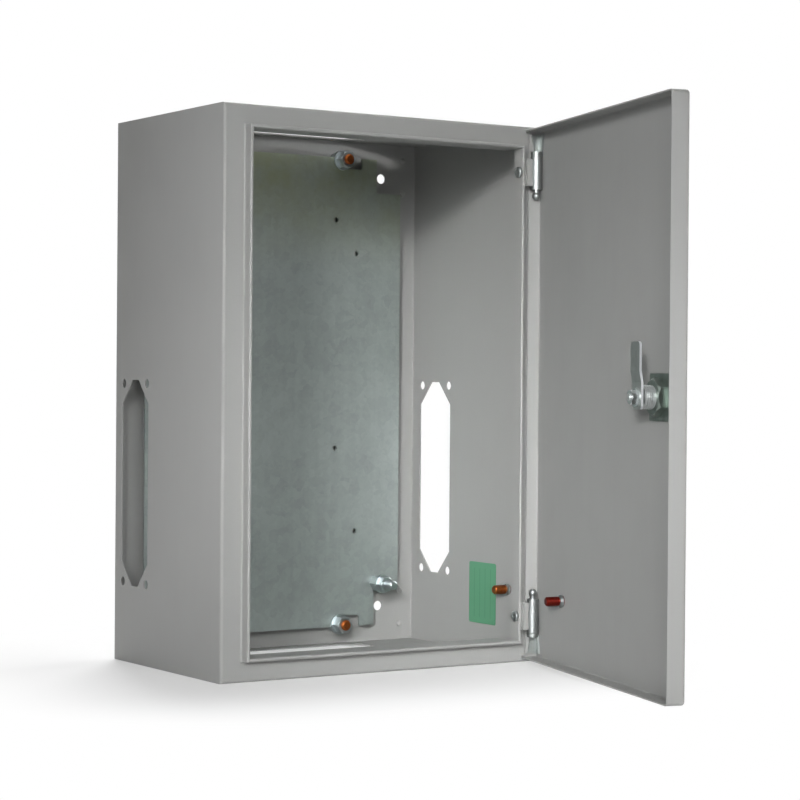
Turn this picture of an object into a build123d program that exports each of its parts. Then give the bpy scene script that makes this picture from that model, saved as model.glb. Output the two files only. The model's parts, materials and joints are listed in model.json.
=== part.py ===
"""Wall-mounted sheet-steel enclosure with an overlay door, a mounting plate and a cam lock.

Millimetres. X runs to the right, Y to the back and Z up. The origin is the centre of the wall-hole
pattern on the back face. The door is modelled shut and then swung open about its hinge axis.
"""

import os

from build123d import *

# Cabinet body
BODY_WIDTH = 400.0
BODY_HEIGHT = 600.0
BODY_DEPTH = 250.0
SHEET = 1.5
BEND_RADIUS = 1.5
EDGE_ROUND = 3.0
CUT_OVERRUN = 5.0
QUARTER_TURN = 90.0

# Rim round the door opening: a flange, then a hemmed lip that points forward
SIDE_RIM = 28.8
TOP_RIM = 25.8
LIP_HEIGHT = 12.0
SIDE_LIP_DEPTH = 16.0
END_LIP_DEPTH = 34.0
HEM_PITCH = 2.4
HEM_BEND_SHARE = 0.48
LIP_BEND_RADIUS = 2.0

# Gland openings, one in each side wall, the top and the bottom
GLAND_LENGTH = 228.0
GLAND_WIDTH = 64.0
GLAND_END_FLAT = 16.0
GLAND_SHOULDER = 26.5
GLAND_FROM_BACK = 50.0
SIDE_GLAND_FROM_BOTTOM = 199.0
GLAND_HOLE_FROM_END = 4.0
GLAND_HOLE_FROM_SIDE = 4.0
GLAND_HOLE_RADIUS = 5.0

# Wall fixing
WALL_HOLE_FROM_SIDE = 50.0
WALL_HOLE_FROM_END = 43.0
WALL_HOLE_RADIUS = 5.7

# Mounting plate and its four weld studs
PLATE_SIDE_GAP = 30.0
PLATE_END_GAP = 22.0
PLATE_THICKNESS = 2.0
PLATE_STANDOFF = 10.5
PLATE_CORNER_NOTCH_WIDTH = 34.0
PLATE_CORNER_NOTCH_HEIGHT = 40.0
PLATE_HOLE_RADIUS = 2.8
INNER_HOLE_PITCH_X = 160.0
INNER_HOLE_PITCH_Z = 270.0
INNER_HOLE_ABOVE_MIDDLE = 69.0
OUTER_HOLE_PITCH_X = 216.0
OUTER_HOLE_PITCH_Z = 330.0
STUD_FROM_PLATE_SIDE = 82.0
STUD_FROM_PLATE_END = 3.0
STUD_RADIUS = 6.0
STUD_LENGTH = 30.5
STUD_TIP = 1.5
STUD_NOTCH_WIDTH = 34.0
STUD_NOTCH_DEPTH = 13.0
STUD_NOTCH_RADIUS = 3.0
STUD_NOTCH_GAP = 0.5
SPACER_RADIUS = 10.0
STUD_WASHER_RADIUS = 12.0
STUD_WASHER_THICKNESS = 2.5
STUD_NUT_FLATS = 18.0
STUD_NUT_HEIGHT = 12.0
THREAD_GAP = 0.05
WASHER_GAP = 0.25

# Earth bolt of the mounting plate
EARTH_BOLT_FROM_PLATE_SIDE = 31.0
EARTH_BOLT_FROM_PLATE_END = 50.0
EARTH_BOLT_RADIUS = 5.0
EARTH_BOLT_LENGTH = 41.0
EARTH_BOLT_TIP = 1.2
EARTH_NUT_FLATS = 16.0
EARTH_HEAD_HEIGHT = 6.4
EARTH_BASE_HEIGHT = 14.0
EARTH_NUT_HEIGHT = 8.0
EARTH_WASHER_RADIUS = 11.0
EARTH_WASHER_THICKNESS = 2.0

# Earth studs on the right wall and on the door
EARTH_STUD_RADIUS = 5.0
EARTH_STUD_LENGTH = 20.0
EARTH_STUD_TIP = 1.2
EARTH_STUD_ROOT_RADIUS = 6.0
EARTH_STUD_ROOT_HEIGHT = 1.0
CONTACT_WASHER_RADIUS = 6.8
CONTACT_WASHER_THICKNESS = 4.0
WALL_STUD_FROM_FRONT = 48.0
WALL_STUD_FROM_BOTTOM = 77.0
DOOR_STUD_FROM_SIDE = 79.5
DOOR_STUD_FROM_BOTTOM = 70.5

# Door, a shallow folded pan that overlaps the rim
DOOR_SIDE_REVEAL = 2.5
DOOR_END_REVEAL = 5.0
DOOR_DEPTH = 19.6
DOOR_GAP = 2.5
DOOR_CORNER_RADIUS = 4.0
HINGE_RETURN = 15.0
DOOR_OPEN_ANGLE = 74.5

# Concealed hinges, the lower one a mirror of the upper
HINGE_FROM_EDGE = 8.6
HINGE_FORWARD = 13.0
HINGE_FROM_DOOR_END = 47.5
BARREL_RADIUS = 6.6
BARREL_WAIST_RADIUS = 6.2
BARREL_HEIGHT = 38.0
BARREL_COLLAR = 2.5
PIN_RADIUS = 3.0
PIN_GAP = 0.05
PIN_HEAD_RADIUS = 4.6
PIN_HEAD_DROP = 6.5
HINGE_LEAF_THICKNESS = 2.5
HINGE_LEAF_HEIGHT = 30.0
HINGE_LEAF_GAP = 0.3
HINGE_WEB = 3.0
HINGE_END_GAP = 0.3
HINGE_SCREW_FORWARD = 5.8
HINGE_SCREW_RADIUS = 2.5
HINGE_SCREW_HOLE_RADIUS = 2.8
HINGE_SCREW_PROUD = 1.0
HINGE_SCREW_HEAD_RADIUS = 6.0
HINGE_SCREW_HEAD_HEIGHT = 3.8
HINGE_SCREW_HEAD_ROUND = 1.8
HINGE_SCREW_SLOT = 1.2
HINGE_SCREW_SLOT_DEPTH = 1.3
ARM_EYE_HEIGHT = 4.0
ARM_SHEET = 2.0
ARM_HEIGHT = 23.0
ARM_CORNER_RADIUS = 2.5
ARM_TOP_REACH = 9.0
ARM_FOOT_REACH = 4.0

# Cam lock
LOCK_FROM_DOOR_SIDE = 59.5
LOCK_HEAD_RADIUS = 15.0
LOCK_HEAD_HEIGHT = 3.0
LOCK_HEAD_ROUND = 1.2
LOCK_SLEEVE_RADIUS = 11.5
LOCK_SLEEVE_LENGTH = 23.5
LOCK_HOLE_GAP = 0.2
LOCK_PLATE_SIZE = 47.0
LOCK_PLATE_THICKNESS = 2.0
LOCK_PLATE_CORNER = 2.0
LOCK_NUT_FLATS = 34.0
LOCK_NUT_HEIGHT = 8.0
SPINDLE_RADIUS = 7.0
SPINDLE_FLANGE_RADIUS = 9.0
SPINDLE_FLANGE_HEIGHT = 2.5
SPINDLE_GAP = 0.05
SPINDLE_END_GAP = 0.2
SPINDLE_SQUARE = 8.0
SPINDLE_THREAD_RADIUS = 3.5
SPINDLE_PROUD = 1.5
KEY_RECESS_RADIUS = 5.5
KEY_RECESS_DEPTH = 8.0
KEY_PIN_RADIUS = 2.5
KEY_BIT_LENGTH = 9.0
KEY_BIT_WIDTH = 3.0
CAM_BEHIND_LIP = 1.0
CAM_THICKNESS = 2.5
CAM_WIDTH = 22.0
CAM_REACH = 54.5
CAM_HEEL = 12.0
CAM_CORNER = 4.0
CAM_JOGGLE = 2.0
CAM_JOGGLE_START = 14.0
CAM_JOGGLE_END = 26.0
CAM_SQUARE_GAP = 0.1
CAM_WASHER_RADIUS = 9.5
CAM_WASHER_THICKNESS = 1.5
CAM_NUT_FLATS = 14.0
CAM_NUT_HEIGHT = 6.0

# Places worked out from the sizes above
HALF_WIDTH = BODY_WIDTH / 2
HALF_HEIGHT = BODY_HEIGHT / 2
FRONT = -BODY_DEPTH
SIDE_GLAND_Z = SIDE_GLAND_FROM_BOTTOM - HALF_HEIGHT
GLAND_HOLE_PITCH_LONG = GLAND_LENGTH - 2 * GLAND_HOLE_FROM_END
GLAND_HOLE_PITCH_WIDE = GLAND_WIDTH - 2 * GLAND_HOLE_FROM_SIDE
WALL_HOLE_PITCH_X = BODY_WIDTH - 2 * WALL_HOLE_FROM_SIDE
WALL_HOLE_PITCH_Z = BODY_HEIGHT - 2 * WALL_HOLE_FROM_END
LIP_THICKNESS = HEM_PITCH + SHEET
LIP_INNER_X = HALF_WIDTH - SIDE_RIM
LIP_OUTER_X = LIP_INNER_X + LIP_THICKNESS
LIP_INNER_Z = HALF_HEIGHT - TOP_RIM
LIP_OUTER_Z = LIP_INNER_Z + LIP_THICKNESS
LIP_FRONT = FRONT - LIP_HEIGHT
SIDE_LIP_REAR = LIP_FRONT + SIDE_LIP_DEPTH
END_LIP_REAR = LIP_FRONT + END_LIP_DEPTH
RIM_ZONE_REAR = END_LIP_REAR + SHEET
PLATE_WIDTH = BODY_WIDTH - 2 * PLATE_SIDE_GAP
PLATE_HEIGHT = BODY_HEIGHT - 2 * PLATE_END_GAP
PLATE_BACK = -(SHEET + PLATE_STANDOFF)
PLATE_FRONT = PLATE_BACK - PLATE_THICKNESS
STUD_PITCH_X = PLATE_WIDTH - 2 * STUD_FROM_PLATE_SIDE
STUD_PITCH_Z = PLATE_HEIGHT - 2 * STUD_FROM_PLATE_END
EARTH_BOLT_X = PLATE_WIDTH / 2 - EARTH_BOLT_FROM_PLATE_SIDE
EARTH_BOLT_Z = EARTH_BOLT_FROM_PLATE_END - PLATE_HEIGHT / 2
WALL_STUD_Y = FRONT + WALL_STUD_FROM_FRONT
WALL_STUD_Z = WALL_STUD_FROM_BOTTOM - HALF_HEIGHT
DOOR_WIDTH = BODY_WIDTH - 2 * DOOR_SIDE_REVEAL
DOOR_HEIGHT = BODY_HEIGHT - 2 * DOOR_END_REVEAL
DOOR_REAR = FRONT - DOOR_GAP
DOOR_FRONT = DOOR_REAR - DOOR_DEPTH
DOOR_INNER = DOOR_FRONT + SHEET
DOOR_STUD_X = DOOR_WIDTH / 2 - DOOR_STUD_FROM_SIDE
DOOR_STUD_Z = DOOR_STUD_FROM_BOTTOM - DOOR_HEIGHT / 2
HINGE_X = DOOR_WIDTH / 2 - HINGE_FROM_EDGE
HINGE_Y = FRONT - HINGE_FORWARD
HINGE_PITCH = DOOR_HEIGHT - 2 * HINGE_FROM_DOOR_END
HINGE_AXIS = Axis((HINGE_X, HINGE_Y, 0), (0, 0, 1))
LOCK_X = LOCK_FROM_DOOR_SIDE - DOOR_WIDTH / 2
CAM_FRONT = SIDE_LIP_REAR + CAM_BEHIND_LIP - CAM_JOGGLE
CAM_BACK = CAM_FRONT + CAM_THICKNESS


def back_to_front(y, x=0, z=0):
    """Work plane at depth y, with X and Z as its own axes, that faces the front."""
    return Plane(origin=(x, y, z), x_dir=(1, 0, 0), z_dir=(0, -1, 0))


def at_corners(pitch_x, pitch_y, shape):
    """Copies of a flat shape at the four corners of a rectangle of the given pitches."""
    return Sketch() + GridLocations(pitch_x, pitch_y, 2, 2) * shape


def hexagon(flats):
    """A hexagon with the given width across its flats."""
    return RegularPolygon(flats / 2, 6, major_radius=False)


def nut(flats, height, bore_radius):
    """A hexagon nut on the XY plane, bevelled on its upper face."""
    blank = extrude(hexagon(flats) - Circle(bore_radius), height)
    bevel = Cone(flats / 2 + height, flats / 2, height, align=(Align.CENTER, Align.CENTER, Align.MIN))
    return blank & bevel


def washer(radius, thickness, bore_radius):
    """A flat washer on the XY plane."""
    return extrude(Circle(radius) - Circle(bore_radius), thickness)


def threaded_rod(radius, length, tip):
    """A rod from the XY plane upwards with a bevelled end."""
    rod = extrude(Circle(radius), length)
    return chamfer(rod.faces().sort_by(Axis.Z)[-1].edges(), tip)


def rim_points(rim_place, wall_place, lip_rear):
    """Middle line of the rim's sheet, from the hem's free end to the outer wall.

    Each point is a distance across the rim and a depth.
    """
    hem_inner = rim_place + SHEET / 2
    hem_outer = hem_inner + HEM_PITCH
    hem_front = LIP_FRONT + SHEET / 2
    flange = FRONT + SHEET / 2
    return [
        (hem_inner, lip_rear),
        (hem_inner, hem_front),
        (hem_outer, hem_front),
        (hem_outer, flange),
        (wall_place - SHEET / 2, flange),
    ]


def rim_radii():
    """Middle radii of the rim's bends, in the order of its points after the first."""
    hem = HEM_PITCH * HEM_BEND_SHARE
    return [hem, hem, LIP_BEND_RADIUS + SHEET / 2, BEND_RADIUS + SHEET / 2]


def gland_cut(plane):
    """Long opening with bevelled ends and its four screw holes, cut through the sheet at a plane.

    The plane's own X runs across the opening and its Y along it.
    """
    half_length = GLAND_LENGTH / 2
    half_width = GLAND_WIDTH / 2
    half_flat = GLAND_END_FLAT / 2
    shoulder = half_length - GLAND_SHOULDER
    outline = Polyline(
        (half_flat, half_length),
        (half_width, shoulder),
        (half_width, -shoulder),
        (half_flat, -half_length),
        (-half_flat, -half_length),
        (-half_width, -shoulder),
        (-half_width, shoulder),
        (-half_flat, half_length),
        close=True,
    )
    holes = at_corners(GLAND_HOLE_PITCH_WIDE, GLAND_HOLE_PITCH_LONG, Circle(GLAND_HOLE_RADIUS))
    return extrude(plane * (make_face(outline) + holes), CUT_OVERRUN, both=True)


def mitre_zone(side):
    """The part of the rim that belongs to the top (side 1) or the bottom (side -1) panel."""
    inner_step = LIP_THICKNESS + CUT_OVERRUN
    outline = Polyline(
        (HALF_WIDTH, side * HALF_HEIGHT),
        (LIP_OUTER_X, side * LIP_OUTER_Z),
        (LIP_OUTER_X - inner_step, side * (LIP_OUTER_Z - inner_step)),
        (inner_step - LIP_OUTER_X, side * (LIP_OUTER_Z - inner_step)),
        (-LIP_OUTER_X, side * LIP_OUTER_Z),
        (-HALF_WIDTH, side * HALF_HEIGHT),
        close=True,
    )
    depth = RIM_ZONE_REAR - LIP_FRONT + CUT_OVERRUN
    return extrude(back_to_front(RIM_ZONE_REAR) * make_face(outline), depth)


def edge_offcuts():
    """What is taken off the four long edges of the body to round them."""
    blocks = at_corners(BODY_WIDTH, BODY_HEIGHT, Rectangle(2 * EDGE_ROUND, 2 * EDGE_ROUND))
    blocks -= RectangleRounded(BODY_WIDTH, BODY_HEIGHT, EDGE_ROUND)
    return extrude(back_to_front(CUT_OVERRUN) * blocks, CUT_OVERRUN - LIP_FRONT)


def hinge_screw_places():
    """Places on the right lip's inner face, facing into the opening, for both hinge screws."""
    y = FRONT - HINGE_SCREW_FORWARD
    return [
        Plane(origin=(LIP_INNER_X, y, z), x_dir=(0, 0, 1), z_dir=(-1, 0, 0))
        for z in (-HINGE_PITCH / 2, HINGE_PITCH / 2)
    ]


def body_wrap():
    """Left wall, back and right wall folded from one sheet, with the side rims."""
    right = rim_points(LIP_INNER_X, HALF_WIDTH, SIDE_LIP_REAR)
    left = [(-across, depth) for across, depth in right]
    back = -SHEET / 2
    wall = HALF_WIDTH - SHEET / 2
    corner = BEND_RADIUS + SHEET / 2
    points = left + [(-wall, back), (wall, back)] + right[::-1]
    radii = rim_radii() + [corner, corner] + rim_radii()[::-1]
    section = trace(FilletPolyline(*points, radius=radii), SHEET)
    wrap = extrude(section, HALF_HEIGHT, both=True) - edge_offcuts()
    wrap -= mitre_zone(1) + mitre_zone(-1)
    for side in (-1, 1):
        middle = (side * (HALF_WIDTH - SHEET / 2), -GLAND_FROM_BACK, SIDE_GLAND_Z)
        wrap -= gland_cut(Plane(origin=middle, x_dir=(0, 1, 0), z_dir=(side, 0, 0)))
    wall_holes = at_corners(WALL_HOLE_PITCH_X, WALL_HOLE_PITCH_Z, Circle(WALL_HOLE_RADIUS))
    wrap -= extrude(back_to_front(0) * wall_holes, CUT_OVERRUN, both=True)
    for place in hinge_screw_places():
        wrap -= extrude(place * Circle(HINGE_SCREW_HOLE_RADIUS), LIP_THICKNESS + CUT_OVERRUN, both=True)
    return wrap


def end_panel(side):
    """Top (side 1) or bottom (side -1) panel with its own rim, welded between the walls."""
    profile = rim_points(LIP_INNER_Z, HALF_HEIGHT, END_LIP_REAR)
    rim = [(depth, side * across) for across, depth in profile]
    points = rim + [(-SHEET, side * (HALF_HEIGHT - SHEET / 2))]
    section = Plane.YZ * trace(FilletPolyline(*points, radius=rim_radii()), SHEET)
    sheet = extrude(section, HALF_WIDTH, both=True) - edge_offcuts()
    floor_depth = -SHEET - RIM_ZONE_REAR
    floor_zone = Box(
        BODY_WIDTH - 2 * SHEET,
        floor_depth,
        BODY_HEIGHT,
        align=(Align.CENTER, Align.MAX, Align.CENTER),
    )
    floor_zone = Pos(0, -SHEET, 0) * floor_zone
    floor_zone = chamfer(floor_zone.edges().filter_by(Axis.Z).group_by(Axis.Y)[-1], BEND_RADIUS)
    panel = (sheet & floor_zone) + (sheet & mitre_zone(side))
    middle = (0, -GLAND_FROM_BACK, side * (HALF_HEIGHT - SHEET / 2))
    return panel - gland_cut(Plane(origin=middle, x_dir=(0, 1, 0), z_dir=(0, 0, side)))


def at_studs(y, piece):
    """Copies of a piece at the four weld studs, at depth y and facing the front."""
    places = GridLocations(STUD_PITCH_X, STUD_PITCH_Z, 2, 2)
    return [back_to_front(y) * place * piece for place in places]


def mounting_plate():
    """Flat plate with clipped corners, stud notches and device holes."""
    outline = Rectangle(PLATE_WIDTH, PLATE_HEIGHT)
    corner_notch = Rectangle(2 * PLATE_CORNER_NOTCH_WIDTH, 2 * PLATE_CORNER_NOTCH_HEIGHT)
    outline -= at_corners(PLATE_WIDTH, PLATE_HEIGHT, corner_notch)
    notch_middle = STUD_PITCH_X / 2 - STUD_RADIUS - STUD_NOTCH_GAP + STUD_NOTCH_WIDTH / 2
    stud_notch = RectangleRounded(STUD_NOTCH_WIDTH, 2 * STUD_NOTCH_DEPTH, STUD_NOTCH_RADIUS)
    outline -= at_corners(2 * notch_middle, PLATE_HEIGHT, stud_notch)
    hole = Circle(PLATE_HOLE_RADIUS)
    outline -= Pos(0, INNER_HOLE_ABOVE_MIDDLE) * at_corners(INNER_HOLE_PITCH_X, INNER_HOLE_PITCH_Z, hole)
    outline -= at_corners(OUTER_HOLE_PITCH_X, OUTER_HOLE_PITCH_Z, hole)
    outline -= Pos(EARTH_BOLT_X, EARTH_BOLT_Z) * Circle(EARTH_BOLT_RADIUS + WASHER_GAP)
    return extrude(back_to_front(PLATE_BACK) * outline, PLATE_THICKNESS)


def plate_fixings():
    """Weld studs, spacers, washers and nuts that carry the mounting plate."""
    bore = STUD_RADIUS + WASHER_GAP
    spacer = washer(SPACER_RADIUS, PLATE_STANDOFF, bore)
    disc = washer(STUD_WASHER_RADIUS, STUD_WASHER_THICKNESS, bore)
    clamp = nut(STUD_NUT_FLATS, STUD_NUT_HEIGHT, STUD_RADIUS + THREAD_GAP)
    return {
        "plate_studs": at_studs(-SHEET, threaded_rod(STUD_RADIUS, STUD_LENGTH, STUD_TIP)),
        "plate_spacers": at_studs(-SHEET, spacer),
        "plate_washers": at_studs(PLATE_FRONT, disc),
        "plate_nuts": at_studs(PLATE_FRONT - STUD_WASHER_THICKNESS, clamp),
    }


def earth_bolt_place(y):
    """Plane on the earth bolt's axis at depth y, facing the front."""
    return back_to_front(y, EARTH_BOLT_X, EARTH_BOLT_Z)


def earth_bolt_set():
    """Bolt through the mounting plate with a tall base nut, two washers and a clamping nut."""
    shank = threaded_rod(EARTH_BOLT_RADIUS, PLATE_THICKNESS + EARTH_BOLT_LENGTH, EARTH_BOLT_TIP)
    head = extrude(hexagon(EARTH_NUT_FLATS), -EARTH_HEAD_HEIGHT)
    bore = EARTH_BOLT_RADIUS + THREAD_GAP
    base_nut = nut(EARTH_NUT_FLATS, EARTH_BASE_HEIGHT, bore)
    clamp_nut = nut(EARTH_NUT_FLATS, EARTH_NUT_HEIGHT, bore)
    disc = washer(EARTH_WASHER_RADIUS, EARTH_WASHER_THICKNESS, EARTH_BOLT_RADIUS + WASHER_GAP)
    first_washer = PLATE_FRONT - EARTH_BASE_HEIGHT
    second_washer = first_washer - EARTH_WASHER_THICKNESS
    clamp_seat = second_washer - EARTH_WASHER_THICKNESS
    return {
        "earth_bolt": earth_bolt_place(PLATE_BACK) * (shank + head),
        "earth_bolt_base_nut": earth_bolt_place(PLATE_FRONT) * base_nut,
        "earth_bolt_washers": [earth_bolt_place(y) * disc for y in (first_washer, second_washer)],
        "earth_bolt_clamp_nut": earth_bolt_place(clamp_seat) * clamp_nut,
    }


def earth_stud():
    """Weld stud with a root collar, from the XY plane upwards."""
    collar = extrude(Circle(EARTH_STUD_ROOT_RADIUS), EARTH_STUD_ROOT_HEIGHT)
    return threaded_rod(EARTH_STUD_RADIUS, EARTH_STUD_LENGTH, EARTH_STUD_TIP) + collar


def contact_washer():
    """Contact washer that sits on an earth stud's root collar."""
    disc = washer(CONTACT_WASHER_RADIUS, CONTACT_WASHER_THICKNESS, EARTH_STUD_RADIUS + WASHER_GAP)
    return Pos(0, 0, EARTH_STUD_ROOT_HEIGHT) * disc


def wall_stud_place():
    """Root of the earth stud on the right wall, facing into the cabinet."""
    return Plane(
        origin=(HALF_WIDTH - SHEET, WALL_STUD_Y, WALL_STUD_Z),
        x_dir=(0, 1, 0),
        z_dir=(-1, 0, 0),
    )


def door_stud_place():
    """Root of the earth stud on the shut door's inner face, facing the back."""
    return Plane(
        origin=(DOOR_STUD_X, DOOR_INNER, DOOR_STUD_Z),
        x_dir=(1, 0, 0),
        z_dir=(0, 1, 0),
    )


def hinge_barrel(side):
    """Fixed half of a hinge: a leaf on the lip's outer face, a web and the barrel."""
    middle = side * HINGE_PITCH / 2
    leaf_rear = FRONT - LIP_BEND_RADIUS - HINGE_LEAF_GAP
    leaf_front = HINGE_Y - HINGE_WEB / 2
    leaf = Pos(LIP_OUTER_X, leaf_front) * Rectangle(
        HINGE_LEAF_THICKNESS, leaf_rear - leaf_front, align=(Align.MIN, Align.MIN)
    )
    web = Pos(LIP_OUTER_X, HINGE_Y) * Rectangle(
        HINGE_X - LIP_OUTER_X, HINGE_WEB, align=(Align.MIN, Align.CENTER)
    )
    waist = Pos(HINGE_X, HINGE_Y) * Circle(BARREL_WAIST_RADIUS)
    collar = Pos(HINGE_X, HINGE_Y) * Circle(BARREL_RADIUS)
    bore = Pos(HINGE_X, HINGE_Y) * Circle(PIN_RADIUS + PIN_GAP)
    barrel = extrude(leaf + web, HINGE_LEAF_HEIGHT / 2, both=True)
    barrel += extrude(waist, BARREL_HEIGHT / 2, both=True)
    for end in (-1, 1):
        collar_middle = end * (BARREL_HEIGHT - BARREL_COLLAR) / 2
        barrel += Pos(0, 0, collar_middle) * extrude(collar, BARREL_COLLAR / 2, both=True)
    barrel -= extrude(bore, BARREL_HEIGHT, both=True)
    screw_y = FRONT - HINGE_SCREW_FORWARD
    screw_plane = Plane(origin=(LIP_OUTER_X, screw_y, 0), x_dir=(0, 0, 1), z_dir=(1, 0, 0))
    barrel -= extrude(
        screw_plane * Circle(HINGE_SCREW_RADIUS + THREAD_GAP), HINGE_LEAF_THICKNESS + CUT_OVERRUN, both=True
    )
    return Pos(0, 0, middle) * barrel


def hinge_screws():
    """Two pan-head screws that fix the hinge leaves through the lip."""
    length = LIP_THICKNESS + HINGE_LEAF_THICKNESS + HINGE_SCREW_PROUD
    head = extrude(Circle(HINGE_SCREW_HEAD_RADIUS), HINGE_SCREW_HEAD_HEIGHT)
    head = fillet(head.faces().sort_by(Axis.Z)[-1].edges(), HINGE_SCREW_HEAD_ROUND)
    slot_floor = HINGE_SCREW_HEAD_HEIGHT - HINGE_SCREW_SLOT_DEPTH
    arm = Rectangle(HINGE_SCREW_HEAD_RADIUS, HINGE_SCREW_SLOT)
    cross = Pos(0, 0, slot_floor) * extrude(arm + Rot(0, 0, QUARTER_TURN) * arm, HINGE_SCREW_HEAD_HEIGHT)
    screw = head - cross + extrude(Circle(HINGE_SCREW_RADIUS), -length)
    return [place * screw for place in hinge_screw_places()]


def hinge_arm(side):
    """Door half of a hinge: a tapered corner bracket with an eye that holds the pin."""
    flange_face = DOOR_WIDTH / 2 - SHEET
    eye_start = HINGE_PITCH / 2 + BARREL_HEIGHT / 2 + HINGE_END_GAP
    reach_x = flange_face - HINGE_X
    reach_y = HINGE_Y - DOOR_INNER
    corner = Pos(flange_face, DOOR_INNER) * Rectangle(reach_x, reach_y, align=(Align.MAX, Align.MIN))
    corner = fillet(corner.vertices().sort_by_distance((flange_face, DOOR_INNER))[0], ARM_CORNER_RADIUS)
    eye = corner + Pos(HINGE_X, HINGE_Y) * Circle(BARREL_RADIUS)
    eye -= Pos(HINGE_X, HINGE_Y) * Circle(PIN_RADIUS + PIN_GAP)
    top = eye_start + ARM_HEIGHT
    foot = ARM_CORNER_RADIUS + ARM_FOOT_REACH
    wide = ARM_CORNER_RADIUS + ARM_TOP_REACH
    on_flange = Polyline(
        (DOOR_INNER + ARM_CORNER_RADIUS, eye_start),
        (DOOR_INNER + foot, eye_start),
        (DOOR_INNER + wide, top),
        (DOOR_INNER + ARM_CORNER_RADIUS, top),
        close=True,
    )
    on_panel = Polyline(
        (flange_face - ARM_CORNER_RADIUS, eye_start),
        (flange_face - foot, eye_start),
        (flange_face - wide, top),
        (flange_face - ARM_CORNER_RADIUS, top),
        close=True,
    )
    flange_plane = Plane(origin=(flange_face, 0, 0), x_dir=(0, 1, 0), z_dir=(1, 0, 0))
    panel_plane = back_to_front(DOOR_INNER)
    fold = Pos(flange_face, DOOR_INNER) * Rectangle(
        ARM_CORNER_RADIUS, ARM_CORNER_RADIUS, align=(Align.MAX, Align.MIN)
    )
    fold = fillet(fold.vertices().sort_by_distance((flange_face, DOOR_INNER))[0], BEND_RADIUS)
    arm = Pos(0, 0, eye_start) * extrude(eye, ARM_EYE_HEIGHT)
    arm += Pos(0, 0, eye_start) * extrude(fold, ARM_HEIGHT)
    arm += extrude(flange_plane * make_face(on_flange), -ARM_SHEET)
    arm += extrude(panel_plane * make_face(on_panel), -ARM_SHEET)
    return arm if side > 0 else mirror(arm, Plane.XY)


def hinge_pin(side):
    """Pin from the arm's eye through the barrel, with a ball head beyond it."""
    eye_end = HINGE_PITCH / 2 + BARREL_HEIGHT / 2 + HINGE_END_GAP + ARM_EYE_HEIGHT
    head_start = HINGE_PITCH / 2 - BARREL_HEIGHT / 2 - HINGE_END_GAP
    head_middle = head_start - PIN_HEAD_DROP
    shank = Pos(0, 0, head_middle) * extrude(Circle(PIN_RADIUS), eye_end - head_middle)
    pin = Pos(HINGE_X, HINGE_Y, 0) * (shank + Pos(0, 0, head_middle) * Sphere(PIN_HEAD_RADIUS))
    return pin if side > 0 else mirror(pin, Plane.XY)


def door_pan():
    """Folded pan with a shorter return on the hinge side and the lock's hole."""
    outer = RectangleRounded(DOOR_WIDTH, DOOR_HEIGHT, DOOR_CORNER_RADIUS)
    inner = RectangleRounded(DOOR_WIDTH - 2 * SHEET, DOOR_HEIGHT - 2 * SHEET, DOOR_CORNER_RADIUS - SHEET)
    shell = extrude(back_to_front(DOOR_REAR) * outer, DOOR_DEPTH)
    shell = fillet(shell.faces().sort_by(Axis.Y)[0].edges(), BEND_RADIUS + SHEET)
    hollow = extrude(back_to_front(DOOR_REAR) * inner, DOOR_DEPTH - SHEET)
    hollow = fillet(hollow.faces().sort_by(Axis.Y)[0].edges(), BEND_RADIUS)
    pan = shell - hollow
    trim = Pos(DOOR_WIDTH / 2, DOOR_FRONT + HINGE_RETURN, 0) * Box(
        2 * (SHEET + WASHER_GAP),
        DOOR_DEPTH,
        DOOR_HEIGHT + CUT_OVERRUN,
        align=(Align.CENTER, Align.MIN, Align.CENTER),
    )
    pan -= trim
    lock_hole = Pos(LOCK_X, 0) * Circle(LOCK_SLEEVE_RADIUS + LOCK_HOLE_GAP)
    return pan - extrude(back_to_front(DOOR_FRONT) * lock_hole, CUT_OVERRUN, both=True)


def lock_place(y):
    """Plane on the lock's axis at depth y, facing the back of the cabinet."""
    return Plane(origin=(LOCK_X, y, 0), x_dir=(1, 0, 0), z_dir=(0, 1, 0))


def lock_fixed_set():
    """Housing, backing plate and ring nut that stay with the door."""
    head = extrude(Circle(LOCK_HEAD_RADIUS), -LOCK_HEAD_HEIGHT)
    head = fillet(head.faces().sort_by(Axis.Z)[0].edges(), LOCK_HEAD_ROUND)
    housing = head + extrude(Circle(LOCK_SLEEVE_RADIUS), LOCK_SLEEVE_LENGTH)
    bore = extrude(Circle(SPINDLE_RADIUS + SPINDLE_GAP), LOCK_HEAD_HEIGHT + LOCK_SLEEVE_LENGTH)
    counterbore = Circle(SPINDLE_FLANGE_RADIUS + SPINDLE_GAP)
    bore += extrude(counterbore, SPINDLE_FLANGE_HEIGHT + SPINDLE_END_GAP)
    housing -= Pos(0, 0, -LOCK_HEAD_HEIGHT) * bore
    sleeve_hole = Circle(LOCK_SLEEVE_RADIUS + LOCK_HOLE_GAP)
    square = RectangleRounded(LOCK_PLATE_SIZE, LOCK_PLATE_SIZE, LOCK_PLATE_CORNER)
    plate_rear = DOOR_INNER + LOCK_PLATE_THICKNESS
    ring_nut = nut(LOCK_NUT_FLATS, LOCK_NUT_HEIGHT, LOCK_SLEEVE_RADIUS + THREAD_GAP)
    return {
        "lock_housing": lock_place(DOOR_FRONT) * housing,
        "lock_backplate": lock_place(DOOR_INNER) * extrude(square - sleeve_hole, LOCK_PLATE_THICKNESS),
        "lock_nut": lock_place(plate_rear) * Rot(0, 0, QUARTER_TURN) * ring_nut,
    }


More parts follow.
